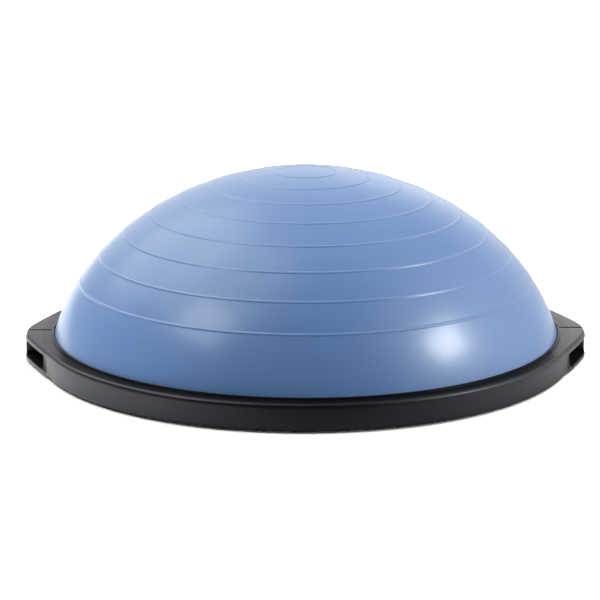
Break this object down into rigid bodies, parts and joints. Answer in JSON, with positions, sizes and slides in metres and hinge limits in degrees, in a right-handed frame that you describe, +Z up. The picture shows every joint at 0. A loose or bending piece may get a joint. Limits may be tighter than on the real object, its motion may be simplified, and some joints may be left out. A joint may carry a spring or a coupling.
{
  "type": "balance dome trainer",
  "caption": "Inflated half-dome of blue vinyl with raised rings, clamped by a two-piece black rim with finger handles onto a rigid round platform with rubber feet and an air valve.",
  "frame": {"origin": "on the floor, under the centre of the round platform", "axes": "+X from one finger handle to the other, +Z up through the crown of the dome, -Y the side seen in the picture"},
  "size_m": [0.668, 0.634, 0.226],
  "materials": {
    "dome_vinyl": "satin blue soft vinyl, faintly mottled, with fine raised rings",
    "rim_plastic": "satin black moulded plastic with a fine grain",
    "platform_plastic": "matt black moulded plastic with a fine grain",
    "foot_rubber": "matt black rubber",
    "screw_steel": "zinc-plated steel",
    "valve_vinyl": "soft blue vinyl",
    "plug_plastic": "off-white moulded plastic"
  },
  "bodies": {
    "trainer": {"dome_bladder": "dome_vinyl", "rim_ring_front": "rim_plastic", "rim_ring_rear": "rim_plastic", "base_platform": "platform_plastic", "valve_seat": "valve_vinyl", "rim_screw_01": "screw_steel", "rim_screw_02": "screw_steel", "rim_screw_03": "screw_steel", "rim_screw_04": "screw_steel", "rim_screw_05": "screw_steel", "rim_screw_06": "screw_steel", "rim_screw_07": "screw_steel", "rim_screw_08": "screw_steel", "rim_screw_09": "screw_steel", "rim_screw_10": "screw_steel", "rim_screw_11": "screw_steel", "rim_screw_12": "screw_steel", "rim_screw_13": "screw_steel", "rim_screw_14": "screw_steel", "rim_screw_15": "screw_steel", "rim_screw_16": "screw_steel", "rubber_foot_01": "foot_rubber", "rubber_foot_02": "foot_rubber", "rubber_foot_03": "foot_rubber", "rubber_foot_04": "foot_rubber", "rubber_foot_05": "foot_rubber", "rubber_foot_06": "foot_rubber", "rubber_foot_07": "foot_rubber", "rubber_foot_08": "foot_rubber"},
    "plug": {"valve_plug": "plug_plastic"}
  },
  "joints": [
    {"name": "valve_plug_pull", "type": "slide", "parent": "trainer", "child": "plug", "axis": [0, 0, -1], "range_m": [0, 0.019]}
  ]
}
